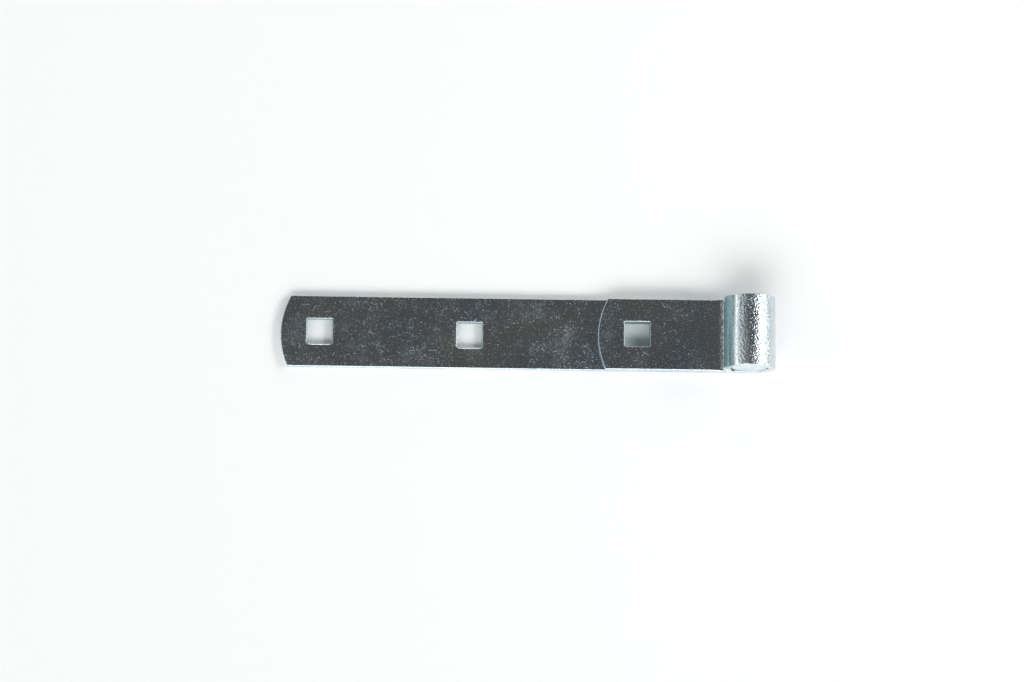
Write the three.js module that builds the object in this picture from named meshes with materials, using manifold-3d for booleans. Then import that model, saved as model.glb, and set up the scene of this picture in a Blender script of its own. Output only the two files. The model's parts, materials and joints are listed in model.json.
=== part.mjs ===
// Strap hinge: one flat bar rolled into an eye and folded back on itself, turning on a plain pin.
//
// Millimetres. The strap lies on its back face: +X runs from the leaf's free end to the eye,
// +Y is the pin's axis and +Z points away from the surface that the strap is bolted to.
// The origin is at the centre of the back, under the middle of the overall length.

import * as THREE from 'three';
import { mergeVertices } from 'three/addons/utils/BufferGeometryUtils.js';
import Module from 'manifold-3d';

const wasm = await Module();
wasm.setup();

// Bar stock and eye.
const BAR_WIDTH = 31.75;
const BAR_THICKNESS = 3.175;
const BORE_RADIUS = 8.15;
const LAYER_GAP = 0.2;
const EYE_BEND_RADIUS = 0.8;

// Places along the strap.
const END_TO_HOLE = 17.2;
const HOLE_1_TO_HOLE_2 = 66.1;
const HOLE_2_TO_HOLE_3 = 73.8;
const HOLE_3_TO_EYE = 48.9;

// Square bolt holes, the middle one a little off the centreline, and sheared ends.
const HOLE_SIZE = 11.1;
const HOLE_2_ACROSS = -0.8;
const END_ARC_RADIUS = 35;
const END_ARC_OFFSET = -1;

// Pin.
const PIN_RADIUS = 7.85;
const PIN_CHAMFER = 0.6;
const PIN_RECESS = 0.4;

// Worked out from the above.
const EYE_RADIUS = BORE_RADIUS + BAR_THICKNESS;
const LEAF_LENGTH = END_TO_HOLE + HOLE_1_TO_HOLE_2 + HOLE_2_TO_HOLE_3 + HOLE_3_TO_EYE;
const OVERALL_LENGTH = LEAF_LENGTH + EYE_RADIUS;
const LEAF_END_X = -OVERALL_LENGTH / 2;
const EYE_X = LEAF_END_X + LEAF_LENGTH;
const HOLE_3_X = EYE_X - HOLE_3_TO_EYE;
const HOLE_2_X = HOLE_3_X - HOLE_2_TO_HOLE_3;
const HOLE_1_X = LEAF_END_X + END_TO_HOLE;
const LEG_END_X = HOLE_3_X - END_TO_HOLE;
const LEG_BOTTOM = BAR_THICKNESS + LAYER_GAP;
const LEG_TOP = LEG_BOTTOM + BAR_THICKNESS;

const CURVE_SEGMENTS = 48;
const PIN_SEGMENTS = 72;
const CUT_MARGIN = 2;

const zincSteel = () => new THREE.MeshStandardMaterial({ color: 0xb4bcc0, roughness: 0.3, metalness: 1 });

// A THREE geometry as a manifold solid.
function toSolid(geometry) {
  const bare = geometry.clone();
  bare.deleteAttribute('normal');
  bare.deleteAttribute('uv');
  const merged = mergeVertices(bare);
  return new wasm.Manifold(new wasm.Mesh({
    numProp: 3,
    vertProperties: new Float32Array(merged.attributes.position.array),
    triVerts: new Uint32Array(merged.index.array),
  }));
}

// A manifold solid as a THREE geometry.
function toGeometry(solid) {
  const mesh = solid.getMesh();
  const geometry = new THREE.BufferGeometry();
  geometry.setAttribute('position', new THREE.BufferAttribute(new Float32Array(mesh.vertProperties), 3));
  geometry.setIndex(new THREE.BufferAttribute(new Uint32Array(mesh.triVerts), 1));
  geometry.computeVertexNormals();
  return geometry;
}

function named(name, geometry, material) {
  const mesh = new THREE.Mesh(geometry, material);
  mesh.name = name;
  return mesh;
}

// The strap seen along the pin: x along the strap, y of the shape is height above the back.
function strapProfile() {
  const eyeZ = EYE_RADIUS;
  const bendZ = LEG_TOP + EYE_BEND_RADIUS;
  const bendX = EYE_X - Math.sqrt((EYE_RADIUS + EYE_BEND_RADIUS) ** 2 - (eyeZ - bendZ) ** 2);
  const bendDirection = Math.atan2(eyeZ - bendZ, EYE_X - bendX);
  const wrapEnd = bendDirection + Math.PI;
  const down = -Math.PI / 2;

  const shape = new THREE.Shape();
  shape.moveTo(LEAF_END_X, 0);
  shape.lineTo(EYE_X, 0);
  shape.absarc(EYE_X, eyeZ, EYE_RADIUS, down, wrapEnd, false);
  shape.absarc(bendX, bendZ, EYE_BEND_RADIUS, bendDirection, down, true);
  shape.lineTo(LEG_END_X, LEG_TOP);
  shape.lineTo(LEG_END_X, LEG_BOTTOM);
  shape.lineTo(bendX, LEG_BOTTOM);
  shape.absarc(bendX, bendZ, EYE_BEND_RADIUS + BAR_THICKNESS, down, bendDirection, false);
  shape.absarc(EYE_X, eyeZ, BORE_RADIUS, wrapEnd, down, true);
  shape.lineTo(LEAF_END_X, BAR_THICKNESS);
  shape.closePath();
  return shape;
}

// The profile drawn out across the bar's width.
function bentBar() {
  const bar = new THREE.ExtrudeGeometry(strapProfile(), {
    depth: BAR_WIDTH,
    curveSegments: CURVE_SEGMENTS,
    bevelEnabled: false,
  });
  bar.rotateX(Math.PI / 2);
  bar.translate(0, BAR_WIDTH / 2, 0);
  return toSolid(bar);
}

// What the shear takes off a square end, so that it bulges to an arc with its apex at apexX.
function endCutter(apexX, fromZ, toZ) {
  const centreX = apexX + END_ARC_RADIUS;
  const halfWidth = BAR_WIDTH / 2 + CUT_MARGIN;
  const topAngle = Math.PI - Math.asin((halfWidth - END_ARC_OFFSET) / END_ARC_RADIUS);
  const bottomAngle = Math.PI + Math.asin((halfWidth + END_ARC_OFFSET) / END_ARC_RADIUS);

  const shape = new THREE.Shape();
  shape.moveTo(apexX - CUT_MARGIN, halfWidth);
  shape.lineTo(apexX - CUT_MARGIN, -halfWidth);
  shape.absarc(centreX, END_ARC_OFFSET, END_ARC_RADIUS, bottomAngle, topAngle, true);
  shape.closePath();
  const cutter = new THREE.ExtrudeGeometry(shape, {
    depth: toZ - fromZ,
    curveSegments: CURVE_SEGMENTS,
    bevelEnabled: false,
  });
  cutter.translate(0, 0, fromZ);
  return toSolid(cutter);
}

function squareHole(x, y) {
  const height = LEG_TOP + 2 * CUT_MARGIN;
  const cutter = new THREE.BoxGeometry(HOLE_SIZE, HOLE_SIZE, height);
  cutter.translate(x, y, height / 2 - CUT_MARGIN);
  return toSolid(cutter);
}

function strap() {
  const betweenLayers = BAR_THICKNESS + LAYER_GAP / 2;
  let solid = bentBar()
    .subtract(endCutter(LEAF_END_X, -CUT_MARGIN, betweenLayers))
    .subtract(endCutter(LEG_END_X, betweenLayers, LEG_TOP + CUT_MARGIN));
  for (const [x, y] of [[HOLE_1_X, 0], [HOLE_2_X, HOLE_2_ACROSS], [HOLE_3_X, 0]]) {
    solid = solid.subtract(squareHole(x, y));
  }
  return named('strap', toGeometry(solid), zincSteel());
}

// A shade shorter than the eye, so that the eye's own ends carry the thrust.
function hingePin() {
  const length = BAR_WIDTH - 2 * PIN_RECESS;
  const profile = [
    new THREE.Vector2(0, 0),
    new THREE.Vector2(PIN_RADIUS - PIN_CHAMFER, 0),
    new THREE.Vector2(PIN_RADIUS, PIN_CHAMFER),
    new THREE.Vector2(PIN_RADIUS, length - PIN_CHAMFER),
    new THREE.Vector2(PIN_RADIUS - PIN_CHAMFER, length),
    new THREE.Vector2(0, length),
  ];
  const pin = named('hinge_pin', new THREE.LatheGeometry(profile, PIN_SEGMENTS), zincSteel());
  pin.position.set(EYE_X, -length / 2, EYE_RADIUS);
  return pin;
}

const group = new THREE.Group();
group.add(strap(), hingePin());

export default group;
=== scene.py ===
"""Strap hinge: a zinc-plated bar rolled into an eye, on a plain pin, lying on white paper.

Metres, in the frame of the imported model: +X runs from the leaf's free end to the eye, +Y is the
pin's axis and +Z points away from the back face. The strap is drawn out along its own bend: a
cross-section of the bar travels along the leaf, round the eye, round the tight bend that closes
the eye and back along the return leg.
"""

import json
import math

import bmesh
import bpy
from mathutils import Matrix, Vector, noise


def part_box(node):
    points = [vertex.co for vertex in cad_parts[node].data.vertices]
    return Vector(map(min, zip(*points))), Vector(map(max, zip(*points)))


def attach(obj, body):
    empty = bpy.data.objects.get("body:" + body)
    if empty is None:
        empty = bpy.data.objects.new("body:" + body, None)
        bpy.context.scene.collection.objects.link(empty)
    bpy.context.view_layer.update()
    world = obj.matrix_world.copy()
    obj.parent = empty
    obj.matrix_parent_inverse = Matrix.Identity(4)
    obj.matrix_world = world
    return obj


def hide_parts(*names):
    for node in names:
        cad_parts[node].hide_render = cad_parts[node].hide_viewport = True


bl_info = {
    "name": "Strap hinge",
    "version": (1, 0, 0),
    "blender": (4, 5, 0),
    "location": "3D View > Sidebar > Strap Hinge",
    "description": "A folded strap with a rolled eye and square bolt holes, with its pin",
    "category": "Add Mesh",
}

MM = 0.001

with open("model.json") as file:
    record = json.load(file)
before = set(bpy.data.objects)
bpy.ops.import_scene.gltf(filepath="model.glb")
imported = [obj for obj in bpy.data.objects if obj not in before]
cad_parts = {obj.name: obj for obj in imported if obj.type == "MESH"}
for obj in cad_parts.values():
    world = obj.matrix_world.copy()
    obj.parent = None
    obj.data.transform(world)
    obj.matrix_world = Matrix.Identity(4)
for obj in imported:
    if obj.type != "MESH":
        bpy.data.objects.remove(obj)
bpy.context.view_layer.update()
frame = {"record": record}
STRAP_LOW, STRAP_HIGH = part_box("strap")
PIN_LOW, PIN_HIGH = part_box("hinge_pin")

BAR_WIDTH = STRAP_HIGH.y - STRAP_LOW.y
EYE_RADIUS = (STRAP_HIGH.z - STRAP_LOW.z) / 2
EYE_X = STRAP_HIGH.x - EYE_RADIUS
LEAF_END_X = STRAP_LOW.x
HOLE_CENTRES = sorted(
    tuple((low + high) / 2 for low, high in zip(*opening["box_m"]))[:2]
    for opening in frame["record"]["physics"]["openings"]
)
END_TO_HOLE = HOLE_CENTRES[0][0] - LEAF_END_X
LEG_HOLE_X = HOLE_CENTRES[-1][0]
LEG_END_X = LEG_HOLE_X - END_TO_HOLE

# How finely the shapes are drawn.
COLUMNS_ACROSS_BAR = 40
STEPS_ROUND_EYE = 96
STEPS_ROUND_BEND = 18
STEPS_ROUND_PIN = 96
SHARP_ANGLE = 1.0

# How far the marks of the punch, the bend and the rolling reach.
DIP_REACH = 0.7 * MM
DRAG_REACH = 1.5 * MM
LEAST_DRAG_REACH = 0.1 * MM
FLARE_REACH = 2.2 * MM
FLARE_FROM = 0.8
WANDER_LENGTH = 7 * MM
WANDER_DEPTH = 0.06 * MM

# Where on the eye the plating changes, and where and how strongly shade is painted above the fold,
# as shares of its radius towards the fold.
HARDLY_STRETCHED = 0.6
PAINTED_SHADE_FROM = 0.66
PAINTED_SHADE_SHARE = 0.75

# Sizes of the plating's patterns, in millimetres.
GRAIN_MM = 0.9
PRICK_MM = 0.6
CLOUD_MM = 11
WAVE_MM = 14
SCUFF_PATCH_MM = 19
FILM_MM = 22

# Each set of scratches: its turn, its length and width in millimetres, and how rare it is.
SCRATCHES = (
    (0.12, 6, 0.36, 0.73),
    (1.05, 5, 0.36, 0.74),
    (-0.6, 5, 0.34, 0.74),
    (2.0, 4, 0.38, 0.74),
)

# The room's parts. Each is where one tone turns to the next, along the sine of the angle above
# the table or of the angle towards an end.
OPENING_SLOPE = 1.2
OPENING_EDGE = (-0.03, 0.05)
GAP_TOP = (0.08, 0.14)
LOW_DOWN_TOP = (0.1, 0.075)
EYE_END = 0.6
BAND_HEIGHT = 0.34
BAND_EDGE = (0.16, 0.1)
LEAF_END = -0.75
ROOM_SKEW = 0.15
FRONT_AND_BACK = (0.62, 0.8)
SIDE_WALL_FROM = (-0.3, -0.8)
SIDE_WALL_FOOT = (0.12, 0.24)
SKIRT_TOP = (0.34, 0.5)

PAPER_SIZE = 3.0
LAMP_PLACE = Vector((0.75, 0.0, 0.70))
LAMP_SIZE = 0.3


# ---------------------------------------------------------------- colours and nodes


def linear(hex_colour):
    """An sRGB colour such as "#B4BCC0" as the linear RGBA that shaders read."""
    channels = [int(hex_colour[i : i + 2], 16) / 255 for i in (1, 3, 5)]
    return [c / 12.92 if c <= 0.04045 else ((c + 0.055) / 1.055) ** 2.4 for c in channels] + [1.0]


def add(tree, kind, settings=(), **inputs):
    """Adds a node. A setting is an attribute, and an input is a value, a socket or a node.

    An input called _0 is the node's first socket. A node given as an input is its first output.
    """
    node = tree.nodes.new(kind)
    for name, value in dict(settings).items():
        setattr(node, name, value)
    for name, value in inputs.items():
        key = int(name[1:]) if name[0] == "_" else name.replace("_", " ")
        if isinstance(value, bpy.types.Node):
            value = value.outputs[0]
        if isinstance(value, bpy.types.NodeSocket):
            tree.links.new(value, node.inputs[key])
        else:
            node.inputs[key].default_value = value
    return node


def new_material(name):
    """An empty material with its surface shader, ready for nodes."""
    material = bpy.data.materials.new(name)
    material.use_nodes = True
    tree = material.node_tree
    return material, tree, tree.nodes["Principled BSDF"]


def per_mm(size_mm):
    """The texture scale, on coordinates in metres, that makes a feature size_mm across."""
    return 1 / (size_mm * MM)


def over(span):
    """The inputs of a Map Range node that goes from 0 to 1 over a span."""
    return {"From_Min": span[0], "From_Max": span[1]}


# ---------------------------------------------------------------- settings


class StrapSettings(bpy.types.PropertyGroup):
    """The bar and how it was cut and bent."""

    thickness: bpy.props.FloatProperty(
        name="Bar thickness", description="Thickness of the flat bar", default=3.175 * MM,
        unit="LENGTH", precision=5)
    layer_gap: bpy.props.FloatProperty(
        name="Layer gap", description="Gap between the leaf and the return leg", default=0.2 * MM,
        unit="LENGTH", precision=5)
    bend_radius: bpy.props.FloatProperty(
        name="Bend radius", description="Inside radius of the tight bend that closes the eye",
        default=0.8 * MM, unit="LENGTH", precision=5)
    hole_size: bpy.props.FloatProperty(
        name="Square hole", description="Across the flats of each bolt hole", default=11.1 * MM,
        unit="LENGTH", precision=5)
    end_radius: bpy.props.FloatProperty(
        name="End arc radius", description="Radius that both ends of the bar are sheared to",
        default=35 * MM, unit="LENGTH", precision=5)
    end_offset: bpy.props.FloatProperty(
        name="End arc offset", description="How far the arc's apex lies off the centreline",
        default=-1 * MM, unit="LENGTH", precision=5)
    edge_round: bpy.props.FloatProperty(
        name="Edge rounding", description="Rounding of the bar's rolled edges and cut ends",
        default=0.5 * MM, unit="LENGTH", precision=5)
    hole_round: bpy.props.FloatProperty(
        name="Hole rounding", description="Rounding of the hole's rim and corners",
        default=0.26 * MM, unit="LENGTH", precision=5)
    punch_dip: bpy.props.FloatProperty(
        name="Punch dip", description="How far the punch drew the face down round each hole",
        default=0.13 * MM, unit="LENGTH", precision=5)
    punch_drag: bpy.props.FloatProperty(
        name="Punch drag", description="How far the punch dragged down the near rim of a hole",
        default=0.4 * MM, unit="LENGTH", precision=5)
    bend_flare: bpy.props.FloatProperty(
        name="Bend flare", description="How far the squeezed metal bulges out at the tight bend",
        default=0.35 * MM, unit="LENGTH", precision=5)


class PinSettings(bpy.types.PropertyGroup):
    """The plain pin in the eye."""

    edge_round: bpy.props.FloatProperty(
        name="Edge rounding", description="Rounding of the pin's two end edges",
        default=0.8 * MM, unit="LENGTH", precision=5)
    dimple_depth: bpy.props.FloatProperty(
        name="End dimple", description="Depth of the shallow hollow left in the sheared end",
        default=0.25 * MM, unit="LENGTH", precision=5)


class FinishSettings(bpy.types.PropertyGroup):
    """Zinc plating with a thin blue passivate."""

    zinc: bpy.props.StringProperty(
        name="Zinc", description="Colour of the bright zinc, sRGB hex", default="#DCE3E4")
    passivate: bpy.props.StringProperty(
        name="Passivate", description="Colour where the passivate is thickest, sRGB hex",
        default="#BFD0DC")
    # Painted shade: a dark teal painted on the walls of the holes and above the fold.
    painted_shade: bpy.props.StringProperty(
        name="Painted teal shade",
        description="Colour of the teal shade painted in the holes and above the fold, sRGB hex",
        default="#5A8C90")
    roughness: bpy.props.FloatProperty(
        name="Roughness", description="Roughness of the bright flat faces", default=0.12,
        min=0, max=1, subtype="FACTOR")


class StageSettings(bpy.types.PropertyGroup):
    """Paper, camera and lights."""

    paper: bpy.props.StringProperty(
        name="Paper", description="Colour of the paper, sRGB hex", default="#FCFDFD")
    camera_place: bpy.props.FloatVectorProperty(
        name="Camera place", description="Where the camera stands", size=3,
        default=(-0.0168, -0.2287, 1.2), subtype="TRANSLATION")
    camera_turn: bpy.props.FloatVectorProperty(
        name="Camera turn", description="The camera's rotation", size=3,
        default=(0.186, -0.0109, 0.0126), subtype="EULER")
    lens: bpy.props.FloatProperty(
        name="Lens", description="Focal length in millimetres", default=97.2)
    tent: bpy.props.FloatProperty(
        name="Tent", description="Brightness of the white tent round the part", default=4.1, min=0)
    skirt: bpy.props.StringProperty(
        name="Skirt", description="Colour of the tent's shaded foot, sRGB hex", default="#6F7172")
    ceiling: bpy.props.StringProperty(
        name="Ceiling", description="Colour of the dark opening overhead, sRGB hex",
        default="#292828")
    side_wall: bpy.props.StringProperty(
        name="Side wall", description="Colour of the grey wall on the leaf's side, sRGB hex",
        default="#6B6E6E")
    lamp_power: bpy.props.FloatProperty(
        name="Lamp", description="Power of the small lamp on the eye's side", default=1.5,
        unit="POWER")


class StrapHingeSettings(bpy.types.PropertyGroup):
    """Everything a user would change."""

    strap: bpy.props.PointerProperty(
        type=StrapSettings, name="Strap", description="The bar and how it was bent")
    pin: bpy.props.PointerProperty(
        type=PinSettings, name="Pin", description="The plain pin in the eye")
    finish: bpy.props.PointerProperty(
        type=FinishSettings, name="Finish", description="Zinc plating")
    stage: bpy.props.PointerProperty(
        type=StageSettings, name="Stage", description="Paper, camera and lights")


# ---------------------------------------------------------------- materials


def zinc_plate(name, finish, marked=False):
    """Zinc electroplate on rolled steel: a mirror-like skin over the bar's fine mill grain.

    The eye sees dark flats that mirror the room, speckled where the grain turns a facet to the
    light, with thin handling scratches and a cold blue tint from the passivate.
    """
    material, tree, shader = new_material(name)
    place = add(tree, "ShaderNodeTexCoord").outputs["Object"]
    # How stretched the bar is, and where dark teal shade is painted, read from the strap's marks.
    stretched, painted_shade = 0.3, 0.0
    if marked:
        stretched, painted_shade = (
            add(tree, "ShaderNodeAttribute", {"attribute_name": mark}).outputs["Fac"]
            for mark in ("stretched", "painted_shade"))

    # Mill grain of the bar, opened up into an orange peel where it was stretched round the eye.
    # It is drawn a few times coarser than it is, so that it shows.
    grain = add(tree, "ShaderNodeTexNoise", Vector=place, Scale=per_mm(GRAIN_MM), Detail=1.5,
                Roughness=0.6)
    slope = add(tree, "ShaderNodeMapRange", Value=stretched, To_Min=0.12, To_Max=0.8)
    grained = add(tree, "ShaderNodeBump", Strength=slope, Distance=0.5 * MM, Height=grain)

    # Slow waves that the straightening rolls left in the flats.
    waves = add(tree, "ShaderNodeTexNoise", Vector=place, Scale=per_mm(WAVE_MM), Detail=1.0)
    rolled = add(tree, "ShaderNodeBump", Strength=0.3, Distance=0.4 * MM, Height=waves,
                 Normal=grained)

    # Pinprick facets that catch the light.
    pricks = add(tree, "ShaderNodeTexNoise", Vector=place, Scale=per_mm(PRICK_MM), Detail=1.0)
    marks = add(tree, "ShaderNodeMapRange", Value=pricks, **over((0.6, 0.86)))

    # Short scratches from handling, in patches, each set lying its own way across the bar.
    scuffed = add(tree, "ShaderNodeTexNoise", Vector=place, Scale=per_mm(SCUFF_PATCH_MM),
                  Detail=1.0)
    scuffed = add(tree, "ShaderNodeMapRange", Value=scuffed, **over((0.42, 0.58)))
    for turn, length_mm, width_mm, rarity in SCRATCHES:
        lie = add(tree, "ShaderNodeMapping", {"vector_type": "TEXTURE"}, Vector=place,
                  Rotation=(0, 0, turn), Scale=(length_mm * MM, width_mm * MM, length_mm * MM))
        streak = add(tree, "ShaderNodeTexNoise", Vector=lie, Scale=1.0, Detail=1.0)
        line = add(tree, "ShaderNodeMapRange", Value=streak, **over((rarity, rarity + 0.05)))
        line = add(tree, "ShaderNodeMath", {"operation": "MULTIPLY"}, _0=line, _1=scuffed)
        marks = add(tree, "ShaderNodeMath", {"operation": "MAXIMUM"}, _0=marks, _1=line)

    # Roughness: soft clouds from the bath, and dull scratches.
    clouds = add(tree, "ShaderNodeTexNoise", Vector=place, Scale=per_mm(CLOUD_MM), Detail=4.0,
                 Roughness=0.6)
    cloudy = add(tree, "ShaderNodeMapRange", Value=clouds, **over((0.42, 0.8)),
                 To_Min=finish.roughness, To_Max=finish.roughness + 0.24)
    rough = add(tree, "ShaderNodeMath", {"operation": "MULTIPLY_ADD"}, _0=marks, _1=0.65,
                _2=cloudy)

    # Passivate, thicker in slow patches; then a dark teal painted shade on the walls of the holes
    # and above the fold.
    film = add(tree, "ShaderNodeTexNoise", Vector=place, Scale=per_mm(FILM_MM), Detail=2.0)
    film = add(tree, "ShaderNodeMapRange", Value=film, **over((0.4, 0.75)))
    colour = add(tree, "ShaderNodeMix", {"data_type": "RGBA"}, Factor=film,
                 _6=linear(finish.zinc), _7=linear(finish.passivate))
    colour = add(tree, "ShaderNodeMix", {"data_type": "RGBA"}, Factor=painted_shade,
                 _6=colour.outputs[2], _7=linear(finish.painted_shade))

    shader.inputs["Metallic"].default_value = 1.0
    tree.links.new(colour.outputs[2], shader.inputs["Base Color"])
    tree.links.new(rough.outputs[0], shader.inputs["Roughness"])
    tree.links.new(rolled.outputs[0], shader.inputs["Normal"])
    return material


def white_paper(stage):
    """Smooth uncoated paper, which spreads light evenly."""
    material, tree, shader = new_material("white_paper")
    shader.inputs["Base Color"].default_value = linear(stage.paper)
    shader.inputs["Roughness"].default_value = 0.85
    shader.inputs["Specular IOR Level"].default_value = 0.2
    return material


# ---------------------------------------------------------------- shapes


def finished(bm, name, material, body, replaced):
    """Turns a bmesh into a piece of the object that stands for a CAD node."""
    mesh = bpy.data.meshes.new(name)
    bm.to_mesh(mesh)
    bm.free()
    mesh.shade_smooth()
    mesh.materials.append(material)
    piece = bpy.data.objects.new(name, mesh)
    bpy.context.scene.collection.objects.link(piece)
    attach(piece, body)
    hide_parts(replaced)


def run_straight(bm, cap, step, count):
    """Pushes the end face along by count steps, and returns the new end face."""
    for _ in range(count):
        cap = bmesh.ops.extrude_face_region(bm, geom=cap)["geom"]
        moved = [element for element in cap if isinstance(element, bmesh.types.BMVert)]
        bmesh.ops.translate(bm, verts=moved, vec=step)
    return cap


def run_through(bm, cap, stations, pitch):
    """Pushes the end face along X from station to station, in steps of about the pitch."""
    for start, stop in zip(stations, stations[1:]):
        count = max(1, round(abs(stop - start) / pitch))
        cap = run_straight(bm, cap, Vector(((stop - start) / count, 0, 0)), count)
    return cap


def run_round(bm, cap, centre, axis_y, angle, count):
    """Turns the end face about an axis along Y, and returns the new end face."""
    return bmesh.ops.spin(
        bm, geom=cap, cent=centre, axis=(0, axis_y, 0), angle=angle, steps=count,
        use_duplicate=False)["geom_last"]


def smooth_step(value):
    """Eases from 0 to 1 as the value does, and stays there."""
    value = min(max(value, 0.0), 1.0)
    return value * value * (3 - 2 * value)


class BentBar:
    """The strap's shape, worked out from the settings and the frame."""

    def __init__(self, strap):
        self.strap = strap
        self.half_hole = strap.hole_size / 2
        self.leg_bottom = strap.thickness + strap.layer_gap
        self.leg_top = self.leg_bottom + strap.thickness
        self.between_layers = strap.thickness + strap.layer_gap / 2
        self.eye = Vector((EYE_X, 0, EYE_RADIUS))
        bend_z = self.leg_top + strap.bend_radius
        drop = EYE_RADIUS - bend_z
        reach = math.sqrt((EYE_RADIUS + strap.bend_radius) ** 2 - drop**2)
        self.bend = Vector((EYE_X - reach, 0, bend_z))
        self.past_level = math.atan2(drop, reach)

    def build(self):
        bm = bmesh.new()
        self.draw_out(bm)
        self.round_the_ends(bm)
        self.punch(bm)
        self.soften(bm)
        self.work_the_metal(bm)
        self.mark_stretched(bm)
        self.mark_painted_shade(bm)
        bmesh.ops.recalc_face_normals(bm, faces=bm.faces)
        return bm

    def draw_out(self, bm):
        """Draws the bar's cross-section along the leaf, the eye, the bend and the return leg."""
        thickness, half, quarter_turn = self.strap.thickness, self.half_hole, math.pi / 2
        pitch = BAR_WIDTH / COLUMNS_ACROSS_BAR
        at_end = Matrix.Translation((LEAF_END_X, 0, thickness / 2))
        upright = Matrix.Rotation(quarter_turn, 4, "Z") @ Matrix.Rotation(quarter_turn, 4, "X")
        to_size = Matrix.Diagonal((BAR_WIDTH, thickness, 1, 1))
        bmesh.ops.create_grid(
            bm, x_segments=COLUMNS_ACROSS_BAR, y_segments=1, size=0.5,
            matrix=at_end @ upright @ to_size)
        cap = bm.faces[:] + bm.edges[:] + bm.verts[:]
        holes = [x + side for x, _ in HOLE_CENTRES for side in (-half, half)]
        cap = run_through(bm, cap, [LEAF_END_X, *holes, EYE_X], pitch)
        cap = run_round(
            bm, cap, self.eye, -1, 3 * quarter_turn + self.past_level, STEPS_ROUND_EYE)
        cap = run_round(bm, cap, self.bend, 1, quarter_turn + self.past_level, STEPS_ROUND_BEND)
        leg = [self.bend.x, LEG_HOLE_X + half, LEG_HOLE_X - half, LEG_END_X]
        run_through(bm, cap, leg, pitch)

    def round_the_ends(self, bm):
        """Shears both ends of the bar to a shallow arc."""
        strap = self.strap
        reach = END_TO_HOLE - self.half_hole
        for vert in bm.verts:
            end = LEG_END_X if vert.co.z > self.between_layers else LEAF_END_X
            along = (vert.co.x - end) / reach
            if not 0 <= along + 1e-6 <= 1:
                continue
            across = vert.co.y - strap.end_offset
            cut = strap.end_radius - math.sqrt(strap.end_radius**2 - across**2)
            vert.co.x += cut * (1 - along)

    def punch(self, bm):
        """Opens the square holes, the one nearest the eye through both layers."""
        strap = self.strap
        layers = [(centre, 0.0, strap.thickness) for centre in HOLE_CENTRES]
        layers.append((HOLE_CENTRES[-1], self.leg_bottom, self.leg_top))
        for (x, y), bottom, top in layers:
            plug = []
            for face in bm.faces:
                middle = face.calc_center_median()
                past_face = min(abs(middle.z - bottom), abs(middle.z - top))
                if self.off_hole(middle, x, y) < self.half_hole and past_face < 0.01 * MM:
                    plug.append(face)
            bmesh.ops.delete(bm, geom=plug, context="FACES")
            rims = [edge for edge in bm.edges if edge.is_boundary]
            bmesh.ops.bridge_loops(bm, edges=rims)

    def off_hole(self, co, x, y):
        """How far a point lies from the middle of a square hole, across its flats."""
        return max(abs(co.x - x), abs(co.y - y))

    def near_a_hole(self, co, slack):
        """Whether a point lies within the slack of a hole's walls, or inside them."""
        return any(self.off_hole(co, x, y) < self.half_hole + slack for x, y in HOLE_CENTRES)

    def soften(self, bm):
        """Rounds every sharp edge: the holes a little, and the bar's own edges more."""
        of_holes, of_bar = [], []
        for edge in bm.edges:
            if len(edge.link_faces) == 2 and edge.calc_face_angle() > SHARP_ANGLE:
                at_hole = all(self.near_a_hole(vert.co, 0.1 * MM) for vert in edge.verts)
                (of_holes if at_hole else of_bar).append(edge)
        groups = ((of_holes, self.strap.hole_round, 3), (of_bar, self.strap.edge_round, 4))
        for edges, offset, segments in groups:
            bmesh.ops.bevel(
                bm, geom=edges, offset=offset, offset_type="OFFSET", segments=segments,
                profile=0.5, affect="EDGES", clamp_overlap=True, material=-1)

    def work_the_metal(self, bm):
        """Moves the surface as the punch, the bending and the rolling did."""
        for vert in bm.verts:
            self.draw_down(vert.co)
            self.flare(vert.co)
            self.sink(vert.co)

    def draw_down(self, co):
        """The punch drew the upper face down round each hole, and dragged the leaf's near rims."""
        strap, half = self.strap, self.half_hole
        on_leg = co.z > self.leg_top - strap.edge_round and co.x < self.bend.x
        on_leaf = abs(co.z - strap.thickness) < strap.edge_round and co.x < LEG_END_X
        if not (on_leg or on_leaf):
            return
        for x, y in HOLE_CENTRES:
            out = Vector((max(abs(co.x - x) - half, 0), max(abs(co.y - y) - half, 0)))
            co.z -= strap.punch_dip * math.exp(-((out.length / DIP_REACH) ** 2))
            if on_leaf and out.x == 0 and co.y < y:
                reach = max(DRAG_REACH * (1 - ((co.x - x) / half) ** 2), LEAST_DRAG_REACH)
                co.z -= strap.punch_drag * max(1 - out.y / reach, 0) ** 2

    def flare(self, co):
        """Metal squeezed at the tight bend came out at both sides of the bar."""
        bulge = self.strap.bend_flare * math.exp(-((self.from_bend(co) / FLARE_REACH) ** 2))
        towards_side = (abs(co.y) / (BAR_WIDTH / 2) - FLARE_FROM) / (1 - FLARE_FROM)
        co.y += math.copysign(bulge * smooth_step(towards_side), co.y)

    def sink(self, co):
        """The eye is not quite round: it sinks a little here and there, and never swells."""
        if co.x > self.bend.x and co.z > self.strap.thickness:
            out = Vector((co.x - self.eye.x, 0, co.z - self.eye.z))
            wander = noise.noise(co / WANDER_LENGTH) * WANDER_DEPTH
            co += out.normalized() * min(wander, 0)

    def from_bend(self, co):
        """A point's distance from the axis of the tight bend."""
        return (Vector((co.x, 0, co.z)) - self.bend).length

    def mark_stretched(self, bm):
        """Marks how far each point was stretched or squeezed, for the grain of the plating.

        The last of the eye, next to the tight bend, was hardly stretched.
        """
        layer = bm.verts.layers.float.new("stretched")
        for vert in bm.verts:
            co = vert.co
            past_bend = smooth_step(((co.x - self.eye.x) / EYE_RADIUS + HARDLY_STRETCHED) / 0.15)
            off_flat = smooth_step((co.z - self.leg_top) / (2 * MM))
            round_front = smooth_step((co.x - self.eye.x) / (3 * MM))
            squeezed = smooth_step(2 - self.from_bend(co) / MM)
            vert[layer] = max(past_bend * max(off_flat, round_front), squeezed)

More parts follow.
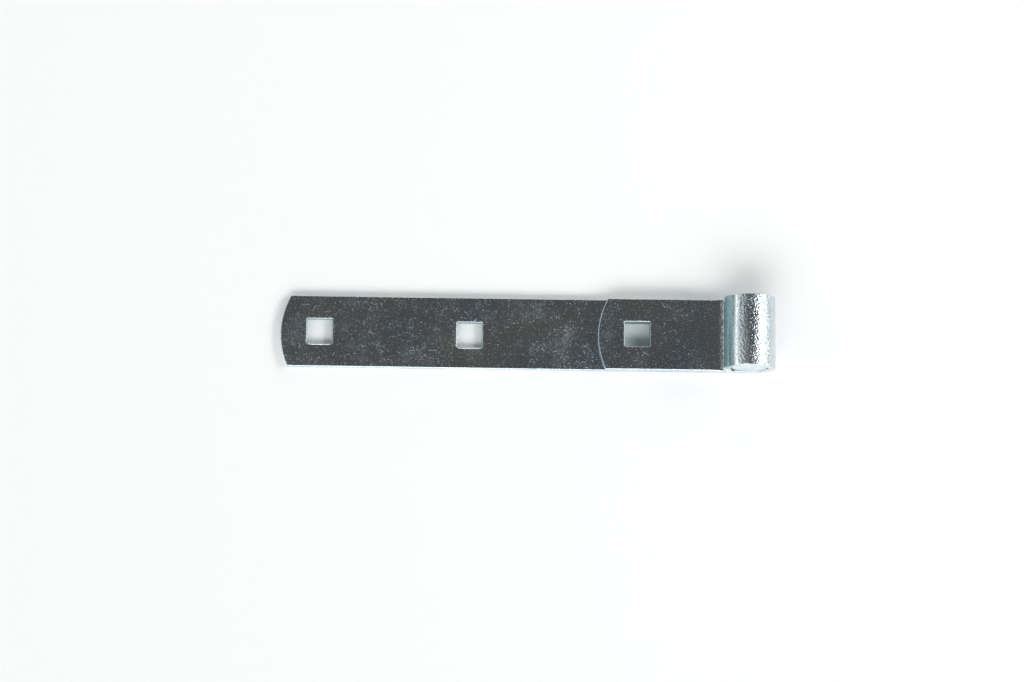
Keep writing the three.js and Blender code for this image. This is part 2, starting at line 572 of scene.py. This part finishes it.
    def mark_painted_shade(self, bm):
        """Marks where dark teal shade is painted: the walls of the holes, and above the fold."""
        layer = bm.verts.layers.float.new("painted_shade")
        for vert in bm.verts:
            co = vert.co
            rim = self.leg_top if co.x > LEG_END_X else self.strap.thickness
            below_rim = co.z < rim - 0.8 * self.strap.hole_round
            towards_fold = (self.eye.x - co.x) / EYE_RADIUS
            # Painted shade: full on the walls of the holes, and a weaker band on the eye above the
            # fold.
            if below_rim and self.near_a_hole(co, 0.05 * MM):
                vert[layer] = 1.0
            elif co.z > self.eye.z:
                vert[layer] = PAINTED_SHADE_SHARE * min(
                    smooth_step((towards_fold - PAINTED_SHADE_FROM) / 0.09),
                    smooth_step((1 - towards_fold) / 0.08))


def turned_pin(pin):
    """A plain pin, its end edges rounded and its sheared ends slightly hollow."""
    radius = (PIN_HIGH.z - PIN_LOW.z) / 2
    length = PIN_HIGH.y - PIN_LOW.y
    middle = (PIN_LOW + PIN_HIGH) / 2
    bm = bmesh.new()
    lie_along_y = Matrix.Translation(middle) @ Matrix.Rotation(math.pi / 2, 4, "X")
    bmesh.ops.create_cone(
        bm, cap_ends=True, cap_tris=False, segments=STEPS_ROUND_PIN, radius1=radius,
        radius2=radius, depth=length, matrix=lie_along_y)
    rims = [edge for edge in bm.edges if edge.calc_face_angle() > SHARP_ANGLE]
    bmesh.ops.bevel(
        bm, geom=rims, offset=pin.edge_round, offset_type="OFFSET", segments=4, profile=0.5,
        affect="EDGES", clamp_overlap=True, material=-1)
    ends = [face for face in bm.faces if len(face.verts) > 8]
    for end in ends:
        inward = -end.normal.copy()
        for share in (0.35, 0.4, 0.45):
            bmesh.ops.inset_region(bm, faces=[end], thickness=radius * share / 2)
            bmesh.ops.translate(bm, verts=end.verts, vec=inward * pin.dimple_depth * share)
    bmesh.ops.recalc_face_normals(bm, faces=bm.faces)
    return bm


# ---------------------------------------------------------------- operators


class STRAPHINGE_OT_strap(bpy.types.Operator):
    """Builds the strap: leaf, rolled eye and return leg, from one bar"""

    bl_idname = "strap_hinge.strap"
    bl_label = "Strap"

    def execute(self, context):
        settings = context.scene.strap_hinge
        material = zinc_plate("zinc_plated_bar", settings.finish, marked=True)
        bar = BentBar(settings.strap).build()
        finished(bar, "strap_bar", material, "strap", "strap")
        return {"FINISHED"}


class STRAPHINGE_OT_pin(bpy.types.Operator):
    """Builds the plain pin that the eye turns on"""

    bl_idname = "strap_hinge.pin"
    bl_label = "Pin"

    def execute(self, context):
        settings = context.scene.strap_hinge
        material = zinc_plate("zinc_plated_pin", settings.finish)
        finished(turned_pin(settings.pin), "plain_pin", material, "pin", "hinge_pin")
        return {"FINISHED"}


class STRAPHINGE_OT_stage(bpy.types.Operator):
    """Lays the paper and sets up the lights and the camera"""

    bl_idname = "strap_hinge.stage"
    bl_label = "Stage"

    def execute(self, context):
        stage = context.scene.strap_hinge.stage
        self.lay_paper(context, stage)
        self.light_the_room(context, stage)
        self.hang_lamp(context, stage)
        self.place_camera(context, stage)
        return {"FINISHED"}

    def lay_paper(self, context, stage):
        bm = bmesh.new()
        bmesh.ops.create_grid(bm, x_segments=1, y_segments=1, size=PAPER_SIZE)
        mesh = bpy.data.meshes.new("paper")
        bm.to_mesh(mesh)
        bm.free()
        mesh.materials.append(white_paper(stage))
        paper = bpy.data.objects.new("paper", mesh)
        context.scene.collection.objects.link(paper)

    def light_the_room(self, context, stage):
        """A white tent, open and dark overhead, with a grey wall on the leaf's side.

        Polished flats mirror the opening, so they look dark from above.
        """
        world = bpy.data.worlds.new("tent")
        context.scene.world = world
        world.use_nodes = True
        tree = world.node_tree
        direction = add(tree, "ShaderNodeTexCoord").outputs["Generated"]
        parts = add(tree, "ShaderNodeSeparateXYZ", Vector=direction)
        along, across, up = (parts.outputs[axis] for axis in "XYZ")

        # Cloth past 50 degrees from overhead on the eye's side, down to a dark gap at the table.
        cloth = add(tree, "ShaderNodeMath", {"operation": "MULTIPLY_ADD"}, _0=up,
                    _1=-OPENING_SLOPE, _2=along)
        cloth = add(tree, "ShaderNodeMapRange", Value=cloth, **over(OPENING_EDGE))
        above_gap = add(tree, "ShaderNodeMapRange", Value=up, **over(GAP_TOP))
        cloth = add(tree, "ShaderNodeMath", {"operation": "MULTIPLY"}, _0=cloth, _1=above_gap)

        # Cloth close to the table, but for the eye's end of the room.
        low_down = add(tree, "ShaderNodeMapRange", Value=up, **over(LOW_DOWN_TOP))
        off_eye_end = add(tree, "ShaderNodeMath", {"operation": "LESS_THAN"}, _0=along,
                          _1=EYE_END)
        low_down = add(tree, "ShaderNodeMath", {"operation": "MULTIPLY"}, _0=low_down,
                       _1=off_eye_end)

        # A band of it low on the wall at the leaf's end.
        band = add(tree, "ShaderNodeMath", {"operation": "SUBTRACT"}, _0=up, _1=BAND_HEIGHT)
        band = add(tree, "ShaderNodeMath", {"operation": "ABSOLUTE"}, _0=band)
        band = add(tree, "ShaderNodeMapRange", Value=band, **over(BAND_EDGE))
        leaf_end = add(tree, "ShaderNodeMath", {"operation": "LESS_THAN"}, _0=along, _1=LEAF_END)
        band = add(tree, "ShaderNodeMath", {"operation": "MULTIPLY"}, _0=band, _1=leaf_end)

        # Cloth in front and behind.
        sides = add(tree, "ShaderNodeMath", {"operation": "SUBTRACT"}, _0=across, _1=ROOM_SKEW)
        sides = add(tree, "ShaderNodeMath", {"operation": "ABSOLUTE"}, _0=sides)
        sides = add(tree, "ShaderNodeMapRange", Value=sides, **over(FRONT_AND_BACK))
        for more in (low_down, sides, band):
            cloth = add(tree, "ShaderNodeMath", {"operation": "MAXIMUM"}, _0=cloth, _1=more)

        # The rest is dark overhead, and grey on the wall at the leaf's end.
        grey = add(tree, "ShaderNodeMapRange", Value=along, **over(SIDE_WALL_FROM))
        off_table = add(tree, "ShaderNodeMapRange", Value=up, **over(SIDE_WALL_FOOT))
        grey = add(tree, "ShaderNodeMath", {"operation": "MULTIPLY"}, _0=grey, _1=off_table)
        dark = add(tree, "ShaderNodeMix", {"data_type": "RGBA"}, Factor=grey,
                   _6=linear(stage.ceiling), _7=linear(stage.side_wall))

        # The cloth is white, and shaded at its foot.
        height = add(tree, "ShaderNodeMapRange", Value=up, **over(SKIRT_TOP))
        white = add(tree, "ShaderNodeMix", {"data_type": "RGBA"}, Factor=height,
                    _6=linear(stage.skirt), _7=(1, 1, 1, 1))
        colour = add(tree, "ShaderNodeMix", {"data_type": "RGBA"}, Factor=cloth,
                     _6=dark.outputs[2], _7=white.outputs[2])
        background = tree.nodes["Background"]
        background.inputs["Strength"].default_value = stage.tent
        tree.links.new(colour.outputs[2], background.inputs["Color"])

    def hang_lamp(self, context, stage):
        """A small square lamp over the eye's side, aimed at the middle of the strap."""
        light = bpy.data.lights.new("lamp", "AREA")
        light.shape = "RECTANGLE"
        light.size = light.size_y = LAMP_SIZE
        light.energy = stage.lamp_power
        lamp = bpy.data.objects.new("lamp", light)
        lamp.location = LAMP_PLACE
        lamp.rotation_euler = (-LAMP_PLACE).to_track_quat("-Z", "Y").to_euler()
        context.scene.collection.objects.link(lamp)

    def place_camera(self, context, stage):
        camera = bpy.data.cameras.new("camera")
        camera.lens = stage.lens
        camera.sensor_width = 36.0
        holder = bpy.data.objects.new("camera", camera)
        holder.location = stage.camera_place
        holder.rotation_euler = stage.camera_turn
        context.scene.collection.objects.link(holder)
        context.scene.camera = holder
        context.scene.view_settings.view_transform = "Standard"
        context.scene.view_settings.look = "None"


class STRAPHINGE_PT_panel(bpy.types.Panel):
    """Lists the pieces and the stage"""

    bl_label = "Strap Hinge"
    bl_idname = "STRAPHINGE_PT_panel"
    bl_space_type = "VIEW_3D"
    bl_region_type = "UI"
    bl_category = "Strap Hinge"

    def draw(self, context):
        for operator in OPERATORS:
            self.layout.operator(operator.bl_idname)
        settings = context.scene.strap_hinge
        for group in (settings.strap, settings.pin, settings.finish, settings.stage):
            box = self.layout.box()
            for name in group.bl_rna.properties.keys():
                if name not in ("rna_type", "name"):
                    box.prop(group, name)


OPERATORS = (STRAPHINGE_OT_strap, STRAPHINGE_OT_pin, STRAPHINGE_OT_stage)
CLASSES = (
    StrapSettings, PinSettings, FinishSettings, StageSettings, StrapHingeSettings,
    *OPERATORS, STRAPHINGE_PT_panel,
)


def register():
    for cls in CLASSES:
        bpy.utils.register_class(cls)
    bpy.types.Scene.strap_hinge = bpy.props.PointerProperty(
        type=StrapHingeSettings, name="Strap hinge", description="Sizes, finish and stage")


def unregister():
    del bpy.types.Scene.strap_hinge
    for cls in reversed(CLASSES):
        bpy.utils.unregister_class(cls)


def main():
    register()
    bpy.ops.strap_hinge.strap()
    bpy.ops.strap_hinge.pin()
    bpy.ops.strap_hinge.stage()


if __name__ == "__main__":
    main()
